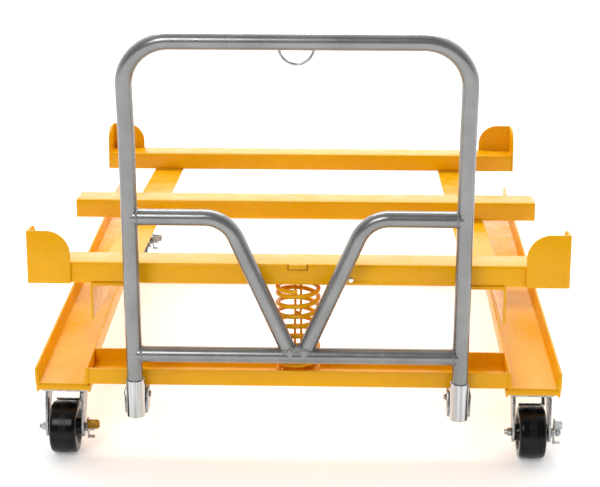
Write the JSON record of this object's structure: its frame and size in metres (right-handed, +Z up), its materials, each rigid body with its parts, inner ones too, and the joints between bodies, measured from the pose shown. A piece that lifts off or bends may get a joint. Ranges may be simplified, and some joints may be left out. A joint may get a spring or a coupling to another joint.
{
  "type": "tilting load dolly",
  "caption": "Low channel-frame dolly on swivel casters, with a spring-raised tilting deck of cross beams and corner stops, and a lift-out tubular push handle",
  "frame": {"origin": "the middle of the footprint on the floor, under the wheels", "axes": "X across the dolly with +X on the right of somebody who pushes it, Y along it from the handle end towards the pivot end, Z up"},
  "size_m": [1.2706, 1.565, 1.049],
  "materials": {
    "yellow_coat": "glossy golden-yellow powder coat",
    "handle_grey": "semi-gloss metallic grey powder coat",
    "sleeve_chrome": "bright plated tube",
    "zinc_plate": "bright zinc plating",
    "wheel_black": "glossy black moulded wheel"
  },
  "bodies": {
    "frame": {"side_channel_left": "yellow_coat", "side_channel_right": "yellow_coat", "cross_channel_front": "yellow_coat", "cross_channel_rear": "yellow_coat", "pivot_bolt_left": "zinc_plate", "pivot_bolt_right": "zinc_plate", "pivot_lug_left": "yellow_coat", "pivot_lug_right": "yellow_coat", "sleeve_left": "sleeve_chrome", "sleeve_right": "sleeve_chrome", "socket_bracket_left": "zinc_plate", "socket_bracket_right": "zinc_plate", "socket_bolt_left": "zinc_plate", "socket_bolt_right": "zinc_plate", "lift_spring": "yellow_coat", "stop_link_lower": "yellow_coat", "caster_pad_front_left": "yellow_coat", "caster_pad_front_right": "yellow_coat", "caster_pad_rear_left": "yellow_coat", "caster_pad_rear_right": "yellow_coat", "caster_plate_front_left": "zinc_plate", "caster_plate_front_right": "zinc_plate", "caster_plate_rear_left": "zinc_plate", "caster_plate_rear_right": "zinc_plate"},
    "deck": {"beam_front": "yellow_coat", "beam_middle": "yellow_coat", "beam_rear": "yellow_coat", "rail_left": "yellow_coat", "rail_right": "yellow_coat", "stop_front_left": "yellow_coat", "stop_front_right": "yellow_coat", "stop_rear_left": "yellow_coat", "stop_rear_right": "yellow_coat", "stop_link_upper": "yellow_coat"},
    "handle": {"handle_loop": "handle_grey", "handle_crossbar": "handle_grey", "handle_brace_left": "handle_grey", "handle_brace_right": "handle_grey", "handle_ring": "zinc_plate"},
    "fork_front_left": {"caster_fork_front_left": "zinc_plate", "brake_shoe_front_left": "zinc_plate", "axle_front_left": "zinc_plate"},
    "wheel_front_left": {"wheel_front_left": "wheel_black"},
    "brake_front_left": {"brake_lever_front_left": "zinc_plate"},
    "fork_front_right": {"caster_fork_front_right": "zinc_plate", "brake_shoe_front_right": "zinc_plate", "axle_front_right": "zinc_plate"},
    "wheel_front_right": {"wheel_front_right": "wheel_black"},
    "brake_front_right": {"brake_lever_front_right": "zinc_plate"},
    "fork_rear_left": {"caster_fork_rear_left": "zinc_plate", "brake_shoe_rear_left": "zinc_plate", "axle_rear_left": "zinc_plate"},
    "wheel_rear_left": {"wheel_rear_left": "wheel_black"},
    "brake_rear_left": {"brake_lever_rear_left": "zinc_plate"},
    "fork_rear_right": {"caster_fork_rear_right": "zinc_plate", "brake_shoe_rear_right": "zinc_plate", "axle_rear_right": "zinc_plate"},
    "wheel_rear_right": {"wheel_rear_right": "wheel_black"},
    "brake_rear_right": {"brake_lever_rear_right": "zinc_plate"}
  },
  "joints": [
    {"name": "deck_tilt", "type": "hinge", "parent": "frame", "child": "deck", "pos_m": [0, 0.70151, 0.25], "axis": [1, 0, 0], "range_deg": [0, 4.9], "stiffness_Nm_per_rad": 44000, "springref_deg": -0.78, "deforming": ["lift_spring"]},
    {"name": "handle_lift", "type": "slide", "parent": "frame", "child": "handle", "axis": [0, 0, 1], "range_m": [0, 0.1]},
    {"name": "swivel_front_left", "type": "hinge", "parent": "frame", "child": "fork_front_left", "pos_m": [-0.562, -0.6465, 0.148], "axis": [0, 0, 1], "continuous": true},
    {"name": "roll_front_left", "type": "hinge", "parent": "fork_front_left", "child": "wheel_front_left", "pos_m": [-0.562, -0.69149, 0.0635], "axis": [1, 0, 0], "continuous": true},
    {"name": "brake_front_left", "type": "hinge", "parent": "fork_front_left", "child": "brake_front_left", "pos_m": [-0.562, -0.69149, 0.0635], "axis": [1, 0, 0], "range_deg": [0, 30]},
    {"name": "swivel_front_right", "type": "hinge", "parent": "frame", "child": "fork_front_right", "pos_m": [0.562, -0.6465, 0.148], "axis": [0, 0, 1], "continuous": true},
    {"name": "roll_front_right", "type": "hinge", "parent": "fork_front_right", "child": "wheel_front_right", "pos_m": [0.562, -0.69149, 0.0635], "axis": [1, 0, 0], "continuous": true},
    {"name": "brake_front_right", "type": "hinge", "parent": "fork_front_right", "child": "brake_front_right", "pos_m": [0.562, -0.69149, 0.0635], "axis": [1, 0, 0], "range_deg": [0, 30]},
    {"name": "swivel_rear_left", "type": "hinge", "parent": "frame", "child": "fork_rear_left", "pos_m": [-0.562, 0.7255, 0.148], "axis": [0, 0, 1], "continuous": true},
    {"name": "roll_rear_left", "type": "hinge", "parent": "fork_rear_left", "child": "wheel_rear_left", "pos_m": [-0.562, 0.68051, 0.0635], "axis": [1, 0, 0], "continuous": true},
    {"name": "brake_rear_left", "type": "hinge", "parent": "fork_rear_left", "child": "brake_rear_left", "pos_m": [-0.562, 0.68051, 0.0635], "axis": [1, 0, 0], "range_deg": [0, 30]},
    {"name": "swivel_rear_right", "type": "hinge", "parent": "frame", "child": "fork_rear_right", "pos_m": [0.562, 0.7255, 0.148], "axis": [0, 0, 1], "continuous": true},
    {"name": "roll_rear_right", "type": "hinge", "parent": "fork_rear_right", "child": "wheel_rear_right", "pos_m": [0.562, 0.68051, 0.0635], "axis": [1, 0, 0], "continuous": true},
    {"name": "brake_rear_right", "type": "hinge", "parent": "fork_rear_right", "child": "brake_rear_right", "pos_m": [0.562, 0.68051, 0.0635], "axis": [1, 0, 0], "range_deg": [0, 30]}
  ]
}
